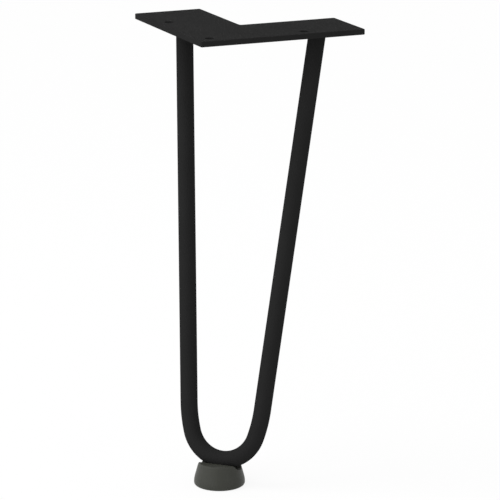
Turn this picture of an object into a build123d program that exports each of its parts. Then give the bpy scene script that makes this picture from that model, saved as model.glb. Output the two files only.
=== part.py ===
from build123d import *
from math import acos, atan2, cos, degrees, radians, sin, sqrt
import os

# Hairpin table leg: a bent round bar welded under an L-shaped screw plate, on a moulded foot.
#
# Millimetres. +Z is up. The origin is on the plate's top face, in the middle of the square where the
# plate's two arms cross, straight above the bend. +X runs across the hairpin, from the left bar to the
# right one, and +Y runs along the plate's diagonal, from its outer corner to its inner corner.

# Whole leg
leg_height = 265.0            # top face of the plate to the floor

# L-shaped screw plate
plate_arm_length = 100.0      # outer corner to the end of each arm
plate_arm_width = 41.0
plate_thickness = 3.2
plate_corner_radius = 1.0     # outer corners, seen from above
plate_inner_radius = 1.5      # inner corner of the L, seen from above
plate_edge_break = 0.4        # sharp edges taken off before coating

# Screw holes, measured from the plate's two outer edges
screw_hole_diameter = 5.0
corner_hole_inset = 8.5       # from both edges
arm_hole_inset = 7.5          # from the arm's long outer edge
arm_hole_reach = 65.5         # from the outer corner, along the arm

# Hairpin bar, sizes on its centre line
bar_diameter = 10.0
bar_spacing = 81.8            # between the two bars, under the plate
bar_setback = 45.3            # bar tops behind the bend, along the plate's diagonal
bend_radius = 20.5
bend_half_sweep = 73.2        # degrees that the bend turns, each way from its lowest point
shoulder_radius = 82.0        # wide arc that eases the bend into the straight bar

# Fillet welds between the bars and the plate
weld_leg = 3.0                # width of the weld on the plate, and its depth on the bar
weld_toe = 0.4                # thickness that is left where the weld ends on the bar

# Moulded foot
foot_pad = 10.0               # material under the bar
foot_seat_depth = 3.6         # how deep the bar lies in the foot
foot_seat_clearance = 0.05    # between the bar and the round floor of the seat
foot_seat_lip_radius = 1.2    # rounding along both sides of the seat
foot_top_diameter = 24.0
foot_diameter = 29.6          # at the widest place, near the floor
foot_flank_radius = 14.0      # arc from the widest place up into the cone
foot_edge_radius = 1.5        # rounding at the floor
foot_rim_bevel = 0.6          # soft bevel round the top rim
foot_offset = 1.65            # the foot sits this far left of the bend's middle

# Places that follow from the sizes above
bar_radius = bar_diameter / 2
plate_underside = -plate_thickness
floor_level = -leg_height
bend_level = floor_level + foot_pad + bar_radius
bend_plane_rise = plate_underside - bend_level
bend_plane_length = sqrt(bend_plane_rise**2 + bar_setback**2)
bend_plane = Plane(
    origin=(0, 0, bend_level),
    x_dir=(1, 0, 0),
    z_dir=(0, -bend_plane_rise, bar_setback),
)


def touch_angle(centre, radius, point):
    """Polar angle, in degrees, of the place where a line from an outside point touches a circle."""
    away = Vector(*point) - Vector(*centre)
    return degrees(atan2(away.Y, away.X) - acos(radius / away.length))


def on_plate(shape):
    """Turn a shape drawn along the plate's outer edges into the leg's own axes."""
    half_square = plate_arm_width / 2
    return Rot(0, 0, 45) * Pos(-half_square, -half_square) * shape


def plate_outline():
    """The L as cut from sheet, with its corners rounded."""
    corners = [
        (0, 0),
        (plate_arm_length, 0),
        (plate_arm_length, plate_arm_width),
        (plate_arm_width, plate_arm_width),
        (plate_arm_width, plate_arm_length),
        (0, plate_arm_length),
    ]
    outline = make_face(Polyline(*corners, close=True))
    inner_corner = outline.vertices().sort_by_distance((plate_arm_width, plate_arm_width))[0]
    outline = fillet(inner_corner, plate_inner_radius)
    outer_corners = [
        outline.vertices().sort_by_distance(corner)[0]
        for corner in corners
        if corner != (plate_arm_width, plate_arm_width)
    ]
    return fillet(outer_corners, plate_corner_radius)


def screw_holes():
    """One hole in the outer corner and one beside the long edge of each arm."""
    places = [
        (corner_hole_inset, corner_hole_inset),
        (arm_hole_reach, arm_hole_inset),
        (arm_hole_inset, arm_hole_reach),
    ]
    return [Pos(*place) * Circle(screw_hole_diameter / 2) for place in places]


def mounting_plate():
    """Flat L-shaped plate that lies against the underside of the table."""
    blank = extrude(plate_outline(), -plate_thickness)
    rims = blank.faces().filter_by(Axis.Z).edges()
    blank = chamfer(rims, plate_edge_break)
    drills = [extrude(hole, -plate_thickness) for hole in screw_holes()]
    return on_plate(blank - drills)


def right_half():
    """Centre line of the right shoulder and straight bar, in the hairpin's own slanted plane."""
    bar_top = (bar_spacing / 2, bend_plane_length)
    sweep_angle = radians(bend_half_sweep)
    step = bend_radius - shoulder_radius
    shoulder_centre = (step * sin(sweep_angle), bend_radius - step * cos(sweep_angle))
    shoulder_start = bend_half_sweep - 90
    shoulder_end = touch_angle(shoulder_centre, shoulder_radius, bar_top)
    shoulder = CenterArc(shoulder_centre, shoulder_radius, shoulder_start, shoulder_end - shoulder_start)
    past_plate = Vector(*bar_top) + (shoulder % 1) * bar_diameter
    return shoulder, Line(shoulder @ 1, past_plate)


def hairpin_path():
    """Centre line of the whole bar, from above the plate down round the bend and up again."""
    bend = CenterArc((0, bend_radius), bend_radius, -90 - bend_half_sweep, 2 * bend_half_sweep)
    shoulder, straight = right_half()
    left_half = [mirror(edge, about=Plane.YZ).edge() for edge in (straight, shoulder)]
    return bend_plane * Wire([*left_half, bend, shoulder, straight])


def bar_blank():
    """The bent bar before its ends are cut, still running up past the plate."""
    path = hairpin_path()
    section = Plane(origin=path @ 0, z_dir=path % 0) * Circle(bar_radius)
    return sweep(section, path=path)


def hairpin_rod():
    """One round bar bent into a narrow U, its ends cut to lie flat against the plate."""
    return split(bar_blank(), bisect_by=Plane.XY.offset(plate_underside), keep=Keep.BOTTOM)


def weld_bead(side):
    """Fillet weld around the top of one bar, between the bar and the plate.

    side is -1 for the left bar and 1 for the right one.
    """
    climb = (bend_plane * right_half()[1]) % 1
    drift = climb * (weld_leg / climb.Z)
    on_plate_face = Vector(side * bar_spacing / 2, bar_setback, plate_underside)
    on_bar = on_plate_face - Vector(side * drift.X, drift.Y, drift.Z)
    collar = loft(
        [
            Plane(on_plate_face) * Circle(bar_radius + weld_leg),
            Plane(on_bar) * Circle(bar_radius / climb.Z + weld_toe),
        ]
    )
    return collar - bar_blank()


def foot_profile():
    """Right half of the foot's section, with the floor at height zero."""
    widest = foot_diameter / 2
    top = foot_pad + foot_seat_depth
    rim = (foot_top_diameter / 2, top)
    edge_centre = (widest - foot_edge_radius, foot_edge_radius)
    flank_centre = (widest - foot_flank_radius, foot_edge_radius)
    cone_start = touch_angle(flank_centre, foot_flank_radius, rim)

    base = Line((0, 0), (widest - foot_edge_radius, 0))
    edge = CenterArc(edge_centre, foot_edge_radius, -90, 90)
    flank = CenterArc(flank_centre, foot_flank_radius, 0, cone_start)
    cone = Line(flank @ 1, rim)
    lid = Polyline(rim, (0, top), (0, 0))
    half = make_face([base, edge, flank, cone, lid])
    rim_corner = half.vertices().sort_by_distance(rim)[0]
    return chamfer(rim_corner, foot_rim_bevel)


def foot_seat():
    """Cutter for the straight round-floored seat, with both its lips rounded over."""
    seat_radius = bar_radius + foot_seat_clearance
    top = foot_pad + foot_seat_depth
    floor_centre = foot_pad + seat_radius
    lip_centre = top - foot_seat_lip_radius
    reach = seat_radius + foot_seat_lip_radius
    drop = floor_centre - lip_centre
    half_width = sqrt(reach**2 - drop**2)
    lip_start = floor_centre - drop * seat_radius / reach

    mouth = Pos(0, lip_start) * Rectangle(2 * half_width, foot_pad, align=(Align.CENTER, Align.MIN))
    lips = [Pos(side * half_width, lip_centre) * Circle(foot_seat_lip_radius) for side in (-1, 1)]
    section = Pos(0, floor_centre) * Circle(seat_radius) + (mouth - lips)
    return extrude(Plane.YZ * section, foot_diameter, both=True)


def foot():
    """Moulded foot: a rounded cone with a seat across its top for the bend."""
    body = revolve(Plane.XZ * foot_profile(), Axis.Z)
    return Pos(-foot_offset, 0, floor_level) * (body - foot_seat())


def main():
    """Build every piece of the leg and write one file for each."""
    os.makedirs("parts", exist_ok=True)
    pieces = {
        "mounting_plate": mounting_plate(),
        "hairpin_rod": hairpin_rod(),
        "left_weld_bead": weld_bead(-1),
        "right_weld_bead": weld_bead(1),
        "foot": foot(),
    }
    for name, piece in pieces.items():
        export_step(piece, f"parts/{name}.step")


if __name__ == "__main__":
    main()
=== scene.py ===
"""Looks of the hairpin table leg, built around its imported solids.

A round steel bar, bent to a narrow U, is welded under an L-shaped screw plate, and all of it is powder
coated in matt black. The bend stands on a moulded foot of dark grey rubber.

Sizes in this file are millimetres, turned to metres by MM. The frame is the solids' own: +Z is up, the
origin is on the plate's top face, straight above the bend, +X runs from the left bar to the right one,
and +Y along the plate's diagonal from its outer corner to its inner corner.
"""
import logging
from dataclasses import dataclass, field
from enum import Enum
from math import acos, atan2, ceil, cos, hypot, pi, radians, sin, sqrt
from typing import Any

import bmesh
import bpy
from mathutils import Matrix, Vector


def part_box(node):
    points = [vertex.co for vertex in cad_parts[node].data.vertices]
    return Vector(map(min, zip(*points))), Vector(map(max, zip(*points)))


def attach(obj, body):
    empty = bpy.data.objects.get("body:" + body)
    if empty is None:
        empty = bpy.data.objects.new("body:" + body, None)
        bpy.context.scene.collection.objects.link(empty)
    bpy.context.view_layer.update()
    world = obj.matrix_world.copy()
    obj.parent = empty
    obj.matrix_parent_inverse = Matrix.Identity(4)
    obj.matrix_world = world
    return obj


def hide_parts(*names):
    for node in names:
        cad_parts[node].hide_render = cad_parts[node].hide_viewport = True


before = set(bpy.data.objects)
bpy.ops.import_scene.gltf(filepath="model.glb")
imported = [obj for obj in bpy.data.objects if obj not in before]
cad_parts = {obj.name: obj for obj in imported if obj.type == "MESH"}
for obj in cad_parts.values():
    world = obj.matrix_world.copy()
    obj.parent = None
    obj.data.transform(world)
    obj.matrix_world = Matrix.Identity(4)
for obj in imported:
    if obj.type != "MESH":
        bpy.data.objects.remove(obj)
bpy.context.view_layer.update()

MM = 0.001
BODY = "root"
log = logging.getLogger("hairpin_leg")

Colour = tuple[float, float, float, float]    # linear red, green and blue, and alpha
LoopPoint = tuple[Vector, Vector]             # a point of a flat outline, and the way out of the steel


class Side(Enum):
    """Which of the two bars a piece belongs to, as the sign of its X."""

    LEFT = -1
    RIGHT = 1


class Slot(Enum):
    """The record's material slots."""

    COAT = "black_powder_coat"
    FOOT = "grey_foot"


def linear(hex_colour: str) -> Colour:
    """Turn an sRGB hex colour into the linear colour that shaders take.

    Args:
        hex_colour: the colour as "#rrggbb".

    Returns:
        Linear red, green and blue, and an alpha of 1.
    """
    shares = [int(hex_colour[start:start + 2], 16) / 255 for start in (1, 3, 5)]
    red, green, blue = [
        share / 12.92 if share <= 0.04045 else ((share + 0.055) / 1.055) ** 2.4
        for share in shares
    ]
    return red, green, blue, 1.0


def add_node(
    tree: bpy.types.NodeTree,
    kind: str,
    settings: dict[str, Any] | None = None,
    inputs: dict[str | int, Any] | None = None,
) -> bpy.types.NodeOutputs:
    """Add one node to a tree, with its settings, its values and its links.

    Args:
        tree: the shader or geometry tree.
        kind: Blender's name for the kind of node.
        settings: the node's own properties.
        inputs: a value, or another node's output to link from, for each input by its name or place.

    Returns:
        The new node's outputs.
    """
    node = tree.nodes.new(kind)
    for name, setting in (settings or {}).items():
        setattr(node, name, setting)
    for key, value in (inputs or {}).items():
        if isinstance(value, bpy.types.NodeSocket):
            tree.links.new(value, node.inputs[key])
        else:
            node.inputs[key].default_value = value
    return node.outputs


def new_material(name: str) -> tuple[bpy.types.Material, bpy.types.NodeTree]:
    """Make a node material that is still empty.

    Args:
        name: the material's name.

    Returns:
        The material and its node tree.
    """
    material = bpy.data.materials.new(name)
    material.use_nodes = True
    material.node_tree.nodes.clear()
    return material, material.node_tree


def place_piece(name: str, mesh: bpy.types.Mesh, node: str) -> bpy.types.Object:
    """Put a finished mesh into the scene in place of one solid.

    Args:
        name: the piece's name.
        mesh: its mesh, already where it belongs and with its material.
        node: the solid that the piece stands for.

    Returns:
        The new object, which rides on the leg's one body.
    """
    mesh.name = name
    piece = bpy.data.objects.new(name, mesh)
    bpy.context.scene.collection.objects.link(piece)
    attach(piece, BODY)
    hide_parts(node)
    return piece


class RuleMesh:
    """A geometry-node tree that is built in the script and then turned into a plain mesh."""

    SOCKETS: dict[type, str] = {
        float: "NodeSocketFloat",
        int: "NodeSocketInt",
        Vector: "NodeSocketVector",
        bpy.types.Material: "NodeSocketMaterial",
    }

    def __init__(self, name: str, sizes: dict[str, Any]) -> None:
        """Start a tree with one named input for each size.

        Args:
            name: the tree's name.
            sizes: the value of each input, by its name.
        """
        self.tree = bpy.data.node_groups.new(name, "GeometryNodeTree")
        interface = self.tree.interface
        interface.new_socket("Geometry", in_out="INPUT", socket_type="NodeSocketGeometry")
        interface.new_socket("Geometry", in_out="OUTPUT", socket_type="NodeSocketGeometry")
        self.values: dict[str, Any] = {}
        for label, value in sizes.items():
            kind = self.SOCKETS[type(value)]
            socket = interface.new_socket(label, in_out="INPUT", socket_type=kind)
            self.values[socket.identifier] = value
        self.inputs = self.tree.nodes.new("NodeGroupInput").outputs

    def to_mesh(self, geometry: bpy.types.NodeSocket, base: bpy.types.Mesh) -> bpy.types.Mesh:
        """Close the tree, run it once and keep what it makes.

        Args:
            geometry: the shape that the tree has come to.
            base: the mesh that the tree starts from, which may be empty.

        Returns:
            A plain mesh with its material.
        """
        tree = self.tree
        smooth = add_node(tree, "GeometryNodeSetShadeSmooth", inputs={"Geometry": geometry})["Geometry"]
        real = add_node(tree, "GeometryNodeRealizeInstances", inputs={"Geometry": smooth})["Geometry"]
        finish = {"Geometry": real, "Material": self.inputs["Material"]}
        dressed = add_node(tree, "GeometryNodeSetMaterial", inputs=finish)["Geometry"]
        add_node(tree, "NodeGroupOutput", inputs={"Geometry": dressed})

        carrier = bpy.data.objects.new(tree.name, base)
        bpy.context.scene.collection.objects.link(carrier)
        modifier = carrier.modifiers.new(tree.name, "NODES")
        modifier.node_group = tree
        for identifier, value in self.values.items():
            modifier[identifier] = value
        depsgraph = bpy.context.evaluated_depsgraph_get()
        mesh = bpy.data.meshes.new_from_object(carrier.evaluated_get(depsgraph))
        carrier.modifiers.remove(modifier)
        bpy.data.objects.remove(carrier)
        return mesh


@dataclass(frozen=True)
class Grain:
    """One layer of fine bumps in a surface, in millimetres."""

    size: float
    depth: float


@dataclass(frozen=True)
class DullFinish:
    """A dull skin that varies a little in tone and sheen, with layers of grain from coarse to fine."""

    name: str
    colour: str
    shade: str                    # second tone, which mixes with the first in broad patches
    patch_size: float
    roughness: float
    roughness_spread: float
    specular_level: float
    grains: tuple[Grain, ...]
    noise_detail: float = 2.0     # finer layers over the main spots of each noise

    def noise(self, tree: bpy.types.NodeTree, size: float) -> bpy.types.NodeSocket:
        """Add an even noise that is fixed to the piece.

        Args:
            tree: the material's node tree.
            size: width of the noise's spots, in millimetres.

        Returns:
            The noise, from 0 to 1.
        """
        place = add_node(tree, "ShaderNodeTexCoord")["Object"]
        spots = {"Vector": place, "Scale": 1 / (size * MM), "Detail": self.noise_detail}
        return add_node(tree, "ShaderNodeTexNoise", inputs=spots)["Fac"]

    def material(self) -> bpy.types.Material:
        """Make the finish's material.

        Returns:
            The material, with tone and roughness from the noises and a bump for each grain.
        """
        material, tree = new_material(self.name)
        tones = {
            "Factor": self.noise(tree, self.patch_size),
            "A": linear(self.shade),
            "B": linear(self.colour),
        }
        skin = {
            "Base Color": add_node(tree, "ShaderNodeMix", {"data_type": "RGBA"}, tones)["Result"],
            "Specular IOR Level": self.specular_level,
        }
        for grain in self.grains:
            height = self.noise(tree, grain.size)
            bump = {"Height": height, "Distance": grain.depth * MM}
            if "Normal" in skin:
                bump["Normal"] = skin["Normal"]
            skin["Normal"] = add_node(tree, "ShaderNodeBump", inputs=bump)["Normal"]
        sheen = {
            "Value": height,
            "To Min": self.roughness - self.roughness_spread,
            "To Max": self.roughness + self.roughness_spread,
        }
        skin["Roughness"] = add_node(tree, "ShaderNodeMapRange", inputs=sheen)["Result"]
        surface = add_node(tree, "ShaderNodeBsdfPrincipled", inputs=skin)["BSDF"]
        add_node(tree, "ShaderNodeOutputMaterial", inputs={"Surface": surface})
        return material


@dataclass(frozen=True)
class PowderCoat(DullFinish):
    """Matt black polyester powder coat, sprayed on steel and baked to a closed skin."""

    # The eye gets a soft dark grey with hardly any shine, a faint orange peel where the powder ran
    # together, fine grit, and a tone that changes a little from place to place.
    name: str = "matt_black_powder_coat_on_steel"
    colour: str = "#303030"
    shade: str = "#292929"
    patch_size: float = 22.0      # thicker and thinner coat
    roughness: float = 0.9
    roughness_spread: float = 0.06
    specular_level: float = 0.02
    grains: tuple[Grain, ...] = (
        Grain(size=1.6, depth=0.15),      # orange peel
        Grain(size=0.6, depth=0.2),       # grit, really near 0.1 mm wide, drawn coarser to show
    )


@dataclass(frozen=True)
class MouldedRubber(DullFinish):
    """Dark grey thermoplastic rubber, moulded in a spark-eroded tool."""

    # The eye gets a warm dark grey with the tool's fine even grain, matt when faced and paler where it
    # is seen at a low angle.
    name: str = "moulded_dark_grey_rubber"
    colour: str = "#484944"
    shade: str = "#3e3f39"
    patch_size: float = 9.0       # flow of the melt
    roughness: float = 0.45
    roughness_spread: float = 0.05
    specular_level: float = 0.2
    grains: tuple[Grain, ...] = (
        Grain(size=0.5, depth=0.06),      # spark grain, really near 0.05 mm wide, drawn coarser to show
    )


@dataclass
class ScrewPlate:
    """L-shaped plate, laser cut from flat steel, that is screwed to the underside of the table."""

    arm_length: float = 100.0
    arm_width: float = 41.0
    corner_radius: float = 1.0
    inner_radius: float = 1.5
    edge_round: float = 0.4       # coat and deburring round every edge
    hole_diameter: float = 5.0
    corner_hole_inset: float = 8.5
    arm_hole_inset: float = 7.5
    arm_hole_reach: float = 65.5
    corner_steps: int = 6
    edge_steps: int = 4
    hole_steps: int = 40
    flat_limit: float = 0.999     # upright share of its normal from which a face counts as flat

    def outline(self) -> list[LoopPoint]:
        """Draw the L with rounded corners, along its own outer edges.

        Returns:
            Points anticlockwise as seen from above, each with the direction out of the plate.
        """
        length, width = self.arm_length, self.arm_width
        corners = [(0, 0), (length, 0), (length, width), (width, width), (width, length), (0, length)]
        points = [Vector(corner) for corner in corners]
        loop: list[LoopPoint] = []
        for index, point in enumerate(points):
            arriving = (point - points[index - 1]).normalized()
            leaving = (points[(index + 1) % len(points)] - point).normalized()
            turn = 1 if arriving.cross(leaving) > 0 else -1
            radius = self.corner_radius if turn > 0 else self.inner_radius
            outward = Vector((arriving.y, -arriving.x))
            centre = point - arriving * radius - outward * (turn * radius)
            for step in range(self.corner_steps + 1):
                angle = pi / 2 * step / self.corner_steps
                spoke = outward * (turn * cos(angle)) + arriving * sin(angle)
                loop.append((centre + spoke * radius, spoke * turn))
        return loop

    def holes(self) -> list[list[LoopPoint]]:
        """Draw the three screw holes, along the plate's outer edges.

        Returns:
            One clockwise loop for each hole, each point with the direction out of the steel.
        """
        places = [
            (self.corner_hole_inset, self.corner_hole_inset),
            (self.arm_hole_reach, self.arm_hole_inset),
            (self.arm_hole_inset, self.arm_hole_reach),
        ]
        loops = []
        for place in places:
            angles = [-2 * pi * step / self.hole_steps for step in range(self.hole_steps)]
            spokes = [Vector((cos(angle), sin(angle))) for angle in angles]
            loops.append([(Vector(place) + spoke * self.hole_diameter / 2, -spoke) for spoke in spokes])
        return loops

    def wall_rows(self, thickness: float) -> list[tuple[float, float]]:
        """Section of the plate's edge, from its top face to its underside.

        Args:
            thickness: the plate's thickness.

        Returns:
            How far in from the outline and how far down each row of points lies.
        """
        angles = [pi / 2 * step / self.edge_steps for step in range(self.edge_steps + 1)]
        radius = self.edge_round
        upper = [(radius * (1 - sin(angle)), radius * (1 - cos(angle))) for angle in angles]
        lower = [(inset, thickness - depth) for inset, depth in reversed(upper)]
        return upper + lower

    def build(self, coat: bpy.types.Material) -> bpy.types.Object:
        """Build the plate with its holes and rounded edges, and dress it.

        Args:
            coat: the powder coat.

        Returns:
            The plate's object.
        """
        low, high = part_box("mounting_plate")
        rows = self.wall_rows((high.z - low.z) / MM)
        shape = bmesh.new()
        rims: list[list[bmesh.types.BMEdge]] = [[], []]
        for loop in [self.outline(), *self.holes()]:
            self.add_wall(shape, loop, rows, high.z, rims)
        for rim in rims:
            bmesh.ops.triangle_fill(shape, use_beauty=True, edges=rim)
        bmesh.ops.recalc_face_normals(shape, faces=shape.faces)
        for face in shape.faces:
            face.smooth = abs(face.normal.z) < self.flat_limit
        mesh = bpy.data.meshes.new("screw_plate")
        shape.to_mesh(mesh)
        shape.free()
        mesh.materials.append(coat)
        return place_piece("coated_screw_plate", mesh, "mounting_plate")

    def add_wall(
        self,
        shape: bmesh.types.BMesh,
        loop: list[LoopPoint],
        rows: list[tuple[float, float]],
        top: float,
        rims: list[list[bmesh.types.BMEdge]],
    ) -> None:
        """Add the wall along one loop of the outline.

        Args:
            shape: the mesh that is being made.
            loop: the loop's points, along the plate's outer edges.
            rows: the wall's section.
            top: height of the plate's top face, in metres.
            rims: the edges round the top face and round the underside, which gain this loop's.
        """
        grid = []
        for inset, depth in rows:
            ring = []
            for point, outward in loop:
                along, across = point - outward * inset
                x = (along - across) / sqrt(2)
                y = (along + across - self.arm_width) / sqrt(2)
                ring.append(shape.verts.new((x * MM, y * MM, top - depth * MM)))
            grid.append(ring)
        for upper, lower in zip(grid, grid[1:]):
            for index in range(len(loop)):
                after = (index + 1) % len(loop)
                shape.faces.new((upper[index], lower[index], lower[after], upper[after]))
        for rim, ring in zip(rims, (grid[0], grid[-1])):
            rim += [shape.edges.get((ring[index - 1], ring[index])) for index in range(len(ring))]


@dataclass
class HairpinBar:
    """One round bar, bent round a tight bend and two wide shoulders and cut flat against the plate."""

    spacing: float = 81.8         # between the centre lines, under the plate
    setback: float = 45.3         # bar tops behind the bend
    bend_radius: float = 20.5
    bend_half_sweep: float = 73.2
    shoulder_radius: float = 82.0
    ring_step: float = 1.4
    sides: int = 56
    radius: float = field(init=False)
    top_level: float = field(init=False)
    rise: float = field(init=False)            # from the bend's middle to the plate, straight up
    plane_length: float = field(init=False)    # the same, along the hairpin's slanted plane

    def __post_init__(self) -> None:
        """Take the bar's thickness and levels from its solid."""
        low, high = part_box("hairpin_rod")
        self.radius = -low.y / MM
        self.top_level = high.z / MM
        bend_level = low.z / MM + self.radius
        self.rise = self.top_level - bend_level
        self.plane_length = hypot(self.rise, self.setback)

    @property
    def slant(self) -> Vector:
        """Direction straight up the hairpin's own slanted plane."""
        return Vector((0, self.setback, self.rise)).normalized()

    def run_to_top(self) -> tuple[float, float]:
        """Find where the right shoulder lets go of the bar.

        Returns:
            The angle that the shoulder turns, and the length of straight bar from there to the plate.
        """
        sweep = radians(self.bend_half_sweep)
        step = self.bend_radius - self.shoulder_radius
        centre = Vector((step * sin(sweep), self.bend_radius - step * cos(sweep)))
        to_top = Vector((self.spacing / 2, self.plane_length)) - centre
        touch = atan2(to_top.y, to_top.x) - acos(self.shoulder_radius / to_top.length)
        return touch + pi / 2 - sweep, sqrt(to_top.length_squared - self.shoulder_radius**2)

    def climb(self, side: Side) -> Vector:
        """Direction of one straight bar, upwards."""
        heading = radians(self.bend_half_sweep) + self.run_to_top()[0]
        return Vector((side.value * cos(heading), 0, 0)) + self.slant * sin(heading)

    def top(self, side: Side) -> Vector:
        """Middle of one bar's top, on the plate's underside."""
        return Vector((side.value * self.spacing / 2, self.setback, self.top_level))

    def build(self, coat: bpy.types.Material) -> bpy.types.Object:
        """Sweep the bar along its rule, cut its tops flat and dress it.

        Args:
            coat: the powder coat.

        Returns:
            The bar's object.
        """
        sweep = radians(self.bend_half_sweep)
        shoulder_sweep, straight = self.run_to_top()
        bend_end = self.bend_radius * sweep
        shoulder_end = bend_end + self.shoulder_radius * shoulder_sweep
        past_plate = self.radius
        half_length = shoulder_end + straight + past_plate
        steps = ceil(2 * half_length / self.ring_step)
        step = 2 * half_length / steps
        first_end = self.top(Side.LEFT) + self.climb(Side.LEFT) * past_plate

        rule = RuleMesh(
            "bent_bar",
            {
                "Bar Radius": self.radius * MM,
                "Bend End": bend_end * MM,
                "Bend Half Sweep": sweep,
                "Shoulder End": shoulder_end * MM,
                "Shoulder Sweep": shoulder_sweep,
                "Slant": self.slant,
                "First End": first_end * MM,
                "First Station": (step / 2 - half_length) * MM,
                "Step": step * MM,
                "Rings": steps + 1,
                "Sides": self.sides,
                "Material": coat,
            },
        )
        mesh = rule.to_mesh(self.swept(rule, self.heading(rule)), bpy.data.meshes.new("empty"))
        self.cut_tops(mesh)
        return place_piece("coated_hairpin_bar", mesh, "hairpin_rod")

    def heading(self, rule: RuleMesh) -> bpy.types.NodeSocket:
        """Work out which way the bar runs at each of its rings.

        The heading turns evenly through the bend, more slowly through each shoulder, and then stays.

        Args:
            rule: the tree, with its named inputs.

        Returns:
            The direction from each ring to the next, one step long.
        """
        tree, sizes = rule.tree, rule.inputs
        ring = add_node(tree, "GeometryNodeInputIndex")["Index"]
        station = add_node(
            tree,
            "ShaderNodeMath",
            {"operation": "MULTIPLY_ADD"},
            {0: ring, 1: sizes["Step"], 2: sizes["First Station"]},
        )["Value"]
        distance = add_node(tree, "ShaderNodeMath", {"operation": "ABSOLUTE"}, {0: station})["Value"]
        side = add_node(tree, "ShaderNodeMath", {"operation": "SIGN"}, {0: station})["Value"]
        bend_turn = add_node(
            tree,
            "ShaderNodeMapRange",
            inputs={"Value": distance, "From Max": sizes["Bend End"], "To Max": sizes["Bend Half Sweep"]},
        )["Result"]
        shoulder_turn = add_node(
            tree,
            "ShaderNodeMapRange",
            inputs={
                "Value": distance,
                "From Min": sizes["Bend End"],
                "From Max": sizes["Shoulder End"],
                "To Max": sizes["Shoulder Sweep"],
            },
        )["Result"]
        turns = {0: bend_turn, 1: shoulder_turn}
        turn = add_node(tree, "ShaderNodeMath", {"operation": "ADD"}, turns)["Value"]
        rising = add_node(tree, "ShaderNodeMath", {"operation": "SINE"}, {0: turn})["Value"]
        factors = {0: rising, 1: side}
        signed_rise = add_node(tree, "ShaderNodeMath", {"operation": "MULTIPLY"}, factors)["Value"]
        running = add_node(tree, "ShaderNodeMath", {"operation": "COSINE"}, {0: turn})["Value"]
        across = add_node(tree, "ShaderNodeCombineXYZ", inputs={"X": running})["Vector"]
        direction = add_node(
            tree,
            "ShaderNodeVectorMath",
            {"operation": "MULTIPLY_ADD"},
            {0: sizes["Slant"], 1: signed_rise, 2: across},
        )["Vector"]
        return add_node(
            tree,
            "ShaderNodeVectorMath",
            {"operation": "SCALE"},
            {"Vector": direction, "Scale": sizes["Step"]},
        )["Vector"]

    def swept(self, rule: RuleMesh, stride: bpy.types.NodeSocket) -> bpy.types.NodeSocket:
        """Lay out the bar's centre line ring by ring and sweep the round section along it.

        Args:
            rule: the tree, with its named inputs.
            stride: the way from each ring to the next.

        Returns:
            The swept bar, with closed ends.
        """
        tree, sizes = rule.tree, rule.inputs
        travelled = add_node(
            tree, "GeometryNodeAccumulateField", {"data_type": "FLOAT_VECTOR"}, {"Value": stride}
        )["Trailing"]
        place = add_node(
            tree, "ShaderNodeVectorMath", {"operation": "ADD"}, {0: travelled, 1: sizes["First End"]}
        )["Vector"]
        line = add_node(tree, "GeometryNodeCurvePrimitiveLine")["Curve"]
        stations = add_node(
            tree, "GeometryNodeResampleCurve", {"mode": "COUNT"}, {"Curve": line, "Count": sizes["Rings"]}
        )["Curve"]
        centre_line = add_node(
            tree, "GeometryNodeSetPosition", inputs={"Geometry": stations, "Position": place}
        )["Geometry"]
        section = add_node(
            tree,
            "GeometryNodeCurvePrimitiveCircle",
            inputs={"Resolution": sizes["Sides"], "Radius": sizes["Bar Radius"]},
        )["Curve"]
        return add_node(
            tree,
            "GeometryNodeCurveToMesh",
            inputs={"Curve": centre_line, "Profile Curve": section, "Fill Caps": True},
        )["Mesh"]

    def cut_tops(self, mesh: bpy.types.Mesh) -> None:
        """Cut both tops of the bar flat, level with the plate's underside.

        Args:
            mesh: the swept bar, which still runs past the plate.
        """
        shape = bmesh.new()
        shape.from_mesh(mesh)
        cut = bmesh.ops.bisect_plane(
            shape,
            geom=[*shape.verts, *shape.edges, *shape.faces],
            plane_co=(0, 0, self.top_level * MM),
            plane_no=(0, 0, 1),
            clear_outer=True,
        )
        rims = [part for part in cut["geom_cut"] if isinstance(part, bmesh.types.BMEdge)]
        tops = bmesh.ops.holes_fill(shape, edges=rims, sides=0)["faces"]
        for face in tops:
            face.smooth = False
        bmesh.ops.recalc_face_normals(shape, faces=shape.faces)
        shape.to_mesh(mesh)
        shape.free()


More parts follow.
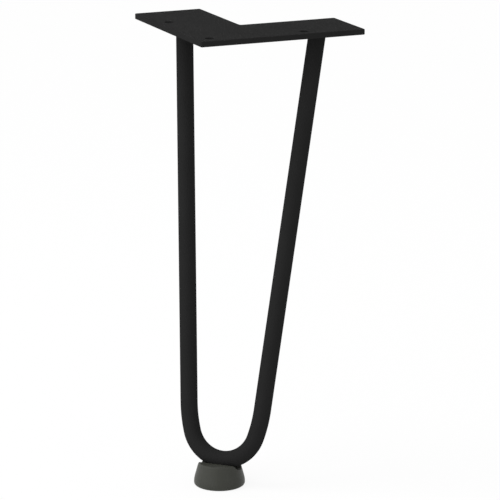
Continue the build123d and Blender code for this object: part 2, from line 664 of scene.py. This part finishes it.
@dataclass
class WeldBead:
    """Fillet weld round the top of one bar, with the ripples that the weld pool left."""

    side: Side
    leg: float = 3.0              # width on the plate, and depth on the bar
    toe: float = 0.4              # thickness where it runs out on the bar
    bulge: float = 0.25           # how far the face stands out between its two edges
    bite: float = 0.3             # how far it reaches into the bar and the plate
    ripple_pitch: float = 2.1
    ripple_height: float = 0.22
    ripple_bow: float = 0.45      # how far a ripple's middle runs ahead of its ends, in pitches
    uneven_size: float = 4.0      # stretches in which the ripples stand higher or lower
    uneven_detail: float = 1.0    # finer layers over those stretches
    uneven_span: tuple[float, float] = (0.3, 0.7)    # noise of the lowest and the highest ripples
    lowest_ripple: float = 0.55   # share of the full height
    face_steps: int = 12
    steps_per_ripple: int = 14

    def section(self) -> list[tuple[float, float]]:
        """Draw the weld's section beside the bar.

        Returns:
            Distance out from the bar's surface and depth below the plate of each point, going round.
        """
        start = Vector((self.leg, 0))
        end = Vector((self.toe, self.leg))
        outward = Vector((1, 1)).normalized()
        shares = [step / self.face_steps for step in range(self.face_steps + 1)]
        face = [start.lerp(end, share) + outward * (self.bulge * sin(pi * share)) for share in shares]
        hidden = [(-self.bite, self.leg), (-self.bite, -self.bite), (self.leg, -self.bite)]
        return [(point.x, point.y) for point in face] + hidden

    def build(self, bar: HairpinBar, coat: bpy.types.Material) -> bpy.types.Object:
        """Sweep the section round the bar's top, ripple it and dress it.

        Args:
            bar: the bar that the weld holds.
            coat: the powder coat.

        Returns:
            The weld's object.
        """
        section = self.section()
        base = bpy.data.meshes.new("weld_section")
        edges = [(index, (index + 1) % len(section)) for index in range(len(section))]
        base.from_pydata([(out * MM, depth * MM, 0) for out, depth in section], edges, [])
        climb = bar.climb(self.side)
        middle_radius = bar.radius + self.leg / 2
        ripples = round(2 * pi * middle_radius / self.ripple_pitch)
        name = self.side.name.lower()
        rule = RuleMesh(
            f"{name}_weld",
            {
                "Bar Radius": bar.radius * MM,
                "Leg": self.leg * MM,
                "Ripples": float(ripples),
                "Ripple Bow": self.ripple_bow,
                "Ripple Height": self.ripple_height * MM,
                "Lowest Ripple": self.lowest_ripple,
                "Uneven Scale": 1 / (self.uneven_size * MM),
                "Steps Round": ripples * self.steps_per_ripple,
                "Lean": Vector((climb.x, climb.y, 0)) / climb.z,
                "Place": bar.top(self.side) * MM,
                "Material": coat,
            },
        )
        mesh = rule.to_mesh(self.laid(rule, self.ripple(rule)), base)
        return place_piece(f"coated_weld_{name}", mesh, f"{name}_weld_bead")

    def ripple(self, rule: RuleMesh) -> bpy.types.NodeSocket:
        """Work out how high the ripples stand at each point of the weld.

        Each ripple is a round hump with a sharp valley on both sides, and its middle runs ahead of its
        ends, as the weld pool does.

        Args:
            rule: the tree, with its named inputs.

        Returns:
            The height at each point, which is nothing on the hidden sides against the bar.
        """
        tree, sizes = rule.tree, rule.inputs
        position = add_node(tree, "GeometryNodeInputPosition")["Position"]
        point = add_node(tree, "ShaderNodeSeparateXYZ", inputs={"Vector": position})
        angle = add_node(
            tree, "ShaderNodeMath", {"operation": "ARCTAN2"}, {0: point["Y"], 1: point["X"]}
        )["Value"]
        turns = add_node(tree, "ShaderNodeMath", {"operation": "DIVIDE"}, {0: angle, 1: 2 * pi})["Value"]
        depth = add_node(
            tree, "ShaderNodeMath", {"operation": "DIVIDE"}, {0: point["Z"], 1: sizes["Leg"]}
        )["Value"]
        from_middle = add_node(
            tree, "ShaderNodeMath", {"operation": "MULTIPLY_ADD"}, {0: depth, 1: 2.0, 2: 1.0}
        )["Value"]
        bow = add_node(tree, "ShaderNodeMath", {"operation": "POWER"}, {0: from_middle, 1: 2.0})["Value"]
        lag = add_node(
            tree, "ShaderNodeMath", {"operation": "MULTIPLY"}, {0: bow, 1: sizes["Ripple Bow"]}
        )["Value"]
        count = add_node(
            tree, "ShaderNodeMath", {"operation": "MULTIPLY_ADD"}, {0: turns, 1: sizes["Ripples"], 2: lag}
        )["Value"]
        phase = add_node(tree, "ShaderNodeMath", {"operation": "MULTIPLY"}, {0: count, 1: pi})["Value"]
        wave = add_node(tree, "ShaderNodeMath", {"operation": "SINE"}, {0: phase})["Value"]
        hump = add_node(tree, "ShaderNodeMath", {"operation": "ABSOLUTE"}, {0: wave})["Value"]

        stretch = add_node(
            tree,
            "ShaderNodeTexNoise",
            inputs={"Vector": position, "Scale": sizes["Uneven Scale"], "Detail": self.uneven_detail},
        )["Fac"]
        calm, lively = self.uneven_span
        share = add_node(
            tree,
            "ShaderNodeMapRange",
            inputs={
                "Value": stretch,
                "From Min": calm,
                "From Max": lively,
                "To Min": sizes["Lowest Ripple"],
            },
        )["Result"]
        flat = add_node(tree, "ShaderNodeCombineXYZ", inputs={"X": point["X"], "Y": point["Y"]})["Vector"]
        radius = add_node(tree, "ShaderNodeVectorMath", {"operation": "LENGTH"}, {0: flat})["Value"]
        in_sight = add_node(
            tree, "ShaderNodeMath", {"operation": "GREATER_THAN"}, {0: radius, 1: sizes["Bar Radius"]}
        )["Value"]
        height = add_node(tree, "ShaderNodeMath", {"operation": "MULTIPLY"}, {0: hump, 1: share})["Value"]
        seen = add_node(
            tree, "ShaderNodeMath", {"operation": "MULTIPLY"}, {0: height, 1: in_sight}
        )["Value"]
        return add_node(
            tree, "ShaderNodeMath", {"operation": "MULTIPLY"}, {0: seen, 1: sizes["Ripple Height"]}
        )["Value"]

    def laid(self, rule: RuleMesh, height: bpy.types.NodeSocket) -> bpy.types.NodeSocket:
        """Sweep the section round a circle, raise the ripples and lean it along the bar.

        Args:
            rule: the tree, with its named inputs and the section as its geometry.
            height: how high the ripples stand at each point.

        Returns:
            The rippled weld, in its place.
        """
        tree, sizes = rule.tree, rule.inputs
        section = add_node(tree, "GeometryNodeMeshToCurve", inputs={"Mesh": sizes["Geometry"]})["Curve"]
        ring = add_node(
            tree,
            "GeometryNodeCurvePrimitiveCircle",
            inputs={"Resolution": sizes["Steps Round"], "Radius": sizes["Bar Radius"]},
        )["Curve"]
        bead = add_node(
            tree, "GeometryNodeCurveToMesh", inputs={"Curve": ring, "Profile Curve": section}
        )["Mesh"]
        outward = add_node(tree, "GeometryNodeInputNormal")["Normal"]
        raised = add_node(
            tree, "ShaderNodeVectorMath", {"operation": "SCALE"}, {"Vector": outward, "Scale": height}
        )["Vector"]
        position = add_node(tree, "GeometryNodeInputPosition")["Position"]
        level = add_node(tree, "ShaderNodeSeparateXYZ", inputs={"Vector": position})["Z"]
        leaning = add_node(
            tree,
            "ShaderNodeVectorMath",
            {"operation": "MULTIPLY_ADD"},
            {0: sizes["Lean"], 1: level, 2: sizes["Place"]},
        )["Vector"]
        moves = {0: raised, 1: leaning}
        offset = add_node(tree, "ShaderNodeVectorMath", {"operation": "ADD"}, moves)["Vector"]
        moved = {"Geometry": bead, "Offset": offset}
        return add_node(tree, "GeometryNodeSetPosition", inputs=moved)["Geometry"]


@dataclass
class MouldedFoot:
    """Round moulded foot with a straight seat across its top, in which the bend lies."""

    pad: float = 10.0             # material under the bar
    seat_radius: float = 5.05     # the bar's and a little clearance
    lip_radius: float = 1.2       # rounding along both sides of the seat
    top_radius: float = 12.0
    flank_radius: float = 14.0    # arc from the widest place up into the cone
    edge_radius: float = 1.5      # rounding at the floor
    rim_round: float = 0.6        # how far the rounding of the top rim reaches to both sides
    columns: int = 240
    base_rows: int = 4
    edge_rows: int = 8
    flank_rows: int = 16
    rim_rows: int = 5
    top_rows: int = 60
    rim_halvings: int = 40        # steps of the search for the rim
    centre: Vector = field(init=False)
    floor: float = field(init=False)
    height: float = field(init=False)
    widest: float = field(init=False)
    cone_level: float = field(init=False)      # where the flank's arc runs out into the cone
    cone_radius: float = field(init=False)

    def __post_init__(self) -> None:
        """Take the foot's place, width and height from its solid."""
        low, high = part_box("foot")
        self.centre = (low + high) / (2 * MM)
        self.floor = low.z / MM
        self.height = (high.z - low.z) / MM
        self.widest = (high.x - low.x) / (2 * MM)
        flank_middle = Vector((self.widest - self.flank_radius, self.edge_radius))
        to_rim = Vector((self.top_radius, self.height)) - flank_middle
        touch = atan2(to_rim.y, to_rim.x) - acos(self.flank_radius / to_rim.length)
        self.cone_level = flank_middle.y + self.flank_radius * sin(touch)
        self.cone_radius = flank_middle.x + self.flank_radius * cos(touch)

    def seat_height(self, across: float) -> float:
        """Height of the foot's upper side at a distance from the seat's middle line.

        Args:
            across: the distance across the seat.

        Returns:
            Height above the floor: the seat's round floor, its rounded lip or the flat top.
        """
        floor_middle = self.pad + self.seat_radius
        lip_middle = self.height - self.lip_radius
        reach = self.seat_radius + self.lip_radius
        half_width = sqrt(reach**2 - (floor_middle - lip_middle) ** 2)
        if across >= half_width:
            return self.height
        if across >= half_width * self.seat_radius / reach:
            return lip_middle + sqrt(self.lip_radius**2 - (half_width - across) ** 2)
        return floor_middle - sqrt(self.seat_radius**2 - across**2)

    def flank(self, level: float) -> float:
        """Radius of the foot's outside, above the rounding at the floor.

        Args:
            level: height above the floor.

        Returns:
            The radius there, on the flank's arc or on the cone.
        """
        if level <= self.cone_level:
            rise = level - self.edge_radius
            return self.widest - self.flank_radius + sqrt(self.flank_radius**2 - rise**2)
        share = (level - self.cone_level) / (self.height - self.cone_level)
        return self.cone_radius + share * (self.top_radius - self.cone_radius)

    def rim_level(self, angle: float) -> float:
        """Find where the outside runs out into the top or the seat.

        Args:
            angle: the place round the foot, from the seat's direction.

        Returns:
            Height of the rim above the floor.
        """
        low, high = self.edge_radius, self.height
        for _ in range(self.rim_halvings):
            middle = (low + high) / 2
            if middle < self.seat_height(abs(self.flank(middle) * sin(angle))):
                low = middle
            else:
                high = middle
        return low

    def section(self, angle: float) -> list[tuple[float, float]]:
        """Draw half of the foot's section at one angle.

        Args:
            angle: the place round the foot, from the seat's direction.

        Returns:
            Radius and height of each point, from the underside round the rim to the top, without the axis.
        """
        flat = self.widest - self.edge_radius
        points = [(flat * row / self.base_rows, 0.0) for row in range(1, self.base_rows)]
        for row in range(self.edge_rows):
            turn = pi / 2 * row / self.edge_rows
            points.append((flat + self.edge_radius * sin(turn), self.edge_radius * (1 - cos(turn))))
        rim = self.rim_level(angle)
        corner = Vector((self.flank(rim), rim))
        flank_end = rim - self.rim_round
        for row in range(self.flank_rows):
            level = self.edge_radius + (flank_end - self.edge_radius) * row / self.flank_rows
            points.append((self.flank(level), level))
        inner = corner.x - self.rim_round
        before = Vector((self.flank(flank_end), flank_end))
        after = Vector((inner, self.seat_height(abs(inner * sin(angle)))))
        for row in range(self.rim_rows):
            share = row / self.rim_rows
            points.append(tuple(before.lerp(corner, share).lerp(corner.lerp(after, share), share)))
        for row in range(self.top_rows):
            radius = inner * (1 - row / self.top_rows)
            points.append((radius, self.seat_height(abs(radius * sin(angle)))))
        return points

    def build(self, rubber: bpy.types.Material) -> bpy.types.Object:
        """Build the foot from its sections, all the way round, and dress it.

        Args:
            rubber: the foot's material.

        Returns:
            The foot's object.
        """
        angles = [2 * pi * column / self.columns for column in range(self.columns)]
        sections = [self.section(angle) for angle in angles]
        rows = len(sections[0])
        points = [
            (self.centre.x + radius * cos(angle), self.centre.y + radius * sin(angle), self.floor + level)
            for angle, section in zip(angles, sections)
            for radius, level in section
        ]
        under, over = len(points), len(points) + 1
        points.append((self.centre.x, self.centre.y, self.floor))
        points.append((self.centre.x, self.centre.y, self.floor + self.pad))
        faces: list[tuple[int, ...]] = []
        for column in range(self.columns):
            here = column * rows
            there = (column + 1) % self.columns * rows
            faces.append((under, there, here))
            for row in range(rows - 1):
                faces.append((here + row, there + row, there + row + 1, here + row + 1))
            faces.append((here + rows - 1, there + rows - 1, over))
        mesh = bpy.data.meshes.new("foot")
        mesh.from_pydata([Vector(point) * MM for point in points], [], faces)
        mesh.shade_smooth()
        mesh.materials.append(rubber)
        return place_piece("moulded_foot", mesh, "foot")


@dataclass
class Studio:
    """Plain pale floor, soft studio light and the camera of the photograph."""

    floor_size: float = 12000.0
    floor_colour: str = "#e4e4e4"
    floor_glow: float = 0.88      # how white the floor already is to the eye where no light falls
    floor_shading: float = 0.16   # share of the falling light that the eye sees too, so that shadows show
    sky: float = 0.5              # even light from all round
    softbox_power: float = 8.7    # broad panel in front, on the left
    softbox_size: tuple[float, float] = (2400.0, 1300.0)
    softbox_place: tuple[float, float, float] = (-830.0, -1140.0, 380.0)
    lamp_strength: float = 0.63   # round lamp, high on the left
    lamp_width: float = 30.0      # how wide it looks from the leg, in degrees
    lamp_place: tuple[float, float, float] = (-985.0, -377.0, 1560.0)
    azimuth: float = 21.336       # camera's place round the leg and above it, in degrees
    elevation: float = 14.435
    distance: float = 1691.8
    aim: tuple[float, float, float] = (9.47, 20.2, -128.83)
    lens: float = 212.275         # focal length

    def seen(self, tree: bpy.types.NodeTree) -> bpy.types.NodeSocket:
        """Tell rays that carry the picture from rays that carry light.

        Args:
            tree: the floor's or the sky's node tree.

        Returns:
            1 for what the camera sees, directly, mirrored or through something clear, and 0 for light.
        """
        rays = add_node(tree, "ShaderNodeLightPath")
        indirect = {0: rays["Is Glossy Ray"], 1: rays["Is Transmission Ray"]}
        mirrored = add_node(tree, "ShaderNodeMath", {"operation": "MAXIMUM"}, indirect)["Value"]
        either = {0: rays["Is Camera Ray"], 1: mirrored}
        return add_node(tree, "ShaderNodeMath", {"operation": "MAXIMUM"}, either)["Value"]

    def paper(self) -> bpy.types.Material:
        """Make the floor's material.

        Returns:
            Matt white paper, which the eye sees almost white, with a soft shadow.
        """
        material, tree = new_material("matt_white_studio_paper")
        matt = add_node(tree, "ShaderNodeBsdfDiffuse", inputs={"Color": linear(self.floor_colour)})["BSDF"]
        share = (self.floor_shading, self.floor_shading, self.floor_shading, 1)
        shaded = add_node(tree, "ShaderNodeBsdfDiffuse", inputs={"Color": share})["BSDF"]
        glow = add_node(tree, "ShaderNodeEmission", inputs={"Strength": self.floor_glow})["Emission"]
        bright = add_node(tree, "ShaderNodeAddShader", inputs={0: shaded, 1: glow})["Shader"]
        choice = {0: self.seen(tree), 1: matt, 2: bright}
        surface = add_node(tree, "ShaderNodeMixShader", inputs=choice)["Shader"]
        add_node(tree, "ShaderNodeOutputMaterial", inputs={"Surface": surface})
        return material

    def build_floor(self, level: float) -> bpy.types.Object:
        """Lay the floor under the foot.

        Args:
            level: height of the floor, in metres.

        Returns:
            The floor's object.
        """
        half = self.floor_size / 2 * MM
        mesh = bpy.data.meshes.new("floor")
        corners = [(-half, -half, level), (half, -half, level), (half, half, level), (-half, half, level)]
        mesh.from_pydata(corners, [], [(0, 1, 2, 3)])
        mesh.materials.append(self.paper())
        floor = bpy.data.objects.new("studio_floor", mesh)
        bpy.context.scene.collection.objects.link(floor)
        return floor

    def build_sky(self) -> None:
        """Surround the leg with even light, and with white for the eye."""
        world = bpy.data.worlds.new("white_studio")
        world.use_nodes = True
        tree = world.node_tree
        tree.nodes.clear()
        levels = {0: self.seen(tree), 1: 1 - self.sky, 2: self.sky}
        strength = add_node(tree, "ShaderNodeMath", {"operation": "MULTIPLY_ADD"}, levels)["Value"]
        white = {"Color": (1, 1, 1, 1), "Strength": strength}
        sky = add_node(tree, "ShaderNodeBackground", inputs=white)["Background"]
        add_node(tree, "ShaderNodeOutputWorld", inputs={"Surface": sky})
        bpy.context.scene.world = world

    def build_lamps(self) -> None:
        """Hang the softbox in front of the leg and the round lamp above it."""
        panel = bpy.data.lights.new("softbox", "AREA")
        panel.shape = "RECTANGLE"
        panel.size, panel.size_y = (side * MM for side in self.softbox_size)
        panel.energy = self.softbox_power
        self.hang(panel, self.softbox_place)
        lamp = bpy.data.lights.new("round_lamp", "SUN")
        lamp.energy = self.lamp_strength
        lamp.angle = radians(self.lamp_width)
        self.hang(lamp, self.lamp_place)

    def hang(self, lamp: bpy.types.Light, place: tuple[float, float, float]) -> None:
        """Hang one lamp in its place, turned to the leg and out of sight.

        Args:
            lamp: the lamp.
            place: where it hangs.
        """
        holder = bpy.data.objects.new(lamp.name, lamp)
        holder.location = Vector(place) * MM
        holder.rotation_mode = "QUATERNION"
        holder.rotation_quaternion = (Vector(place) - Vector(self.aim)).to_track_quat("Z", "Y")
        holder.visible_camera = False
        bpy.context.scene.collection.objects.link(holder)

    def build_camera(self) -> None:
        """Set up the camera as the photograph was taken."""
        turn, tilt = radians(self.azimuth), radians(self.elevation)
        back = Vector((sin(turn) * cos(tilt), -cos(turn) * cos(tilt), sin(tilt)))
        lens = bpy.data.cameras.new("camera")
        lens.lens = self.lens
        camera = bpy.data.objects.new("camera", lens)
        camera.location = (Vector(self.aim) + back * self.distance) * MM
        camera.rotation_mode = "QUATERNION"
        camera.rotation_quaternion = back.to_track_quat("Z", "Y")
        bpy.context.scene.collection.objects.link(camera)
        bpy.context.scene.camera = camera


def main() -> None:
    """Build the leg piece by piece, and the studio around it."""
    logging.basicConfig(level=logging.INFO, format="%(message)s")
    bpy.context.scene.view_settings.view_transform = "Standard"
    coat = PowderCoat().material()
    rubber = MouldedRubber().material()
    bar = HairpinBar()
    pieces = [
        ScrewPlate().build(coat),
        bar.build(coat),
        WeldBead(Side.LEFT).build(bar, coat),
        WeldBead(Side.RIGHT).build(bar, coat),
        MouldedFoot().build(rubber),
    ]
    for piece in pieces:
        log.info("%s: %d faces", piece.name, len(piece.data.polygons))
    studio = Studio()
    studio.build_floor(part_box("foot")[0].z)
    studio.build_sky()
    studio.build_lamps()
    studio.build_camera()


if __name__ == "__main__":
    main()
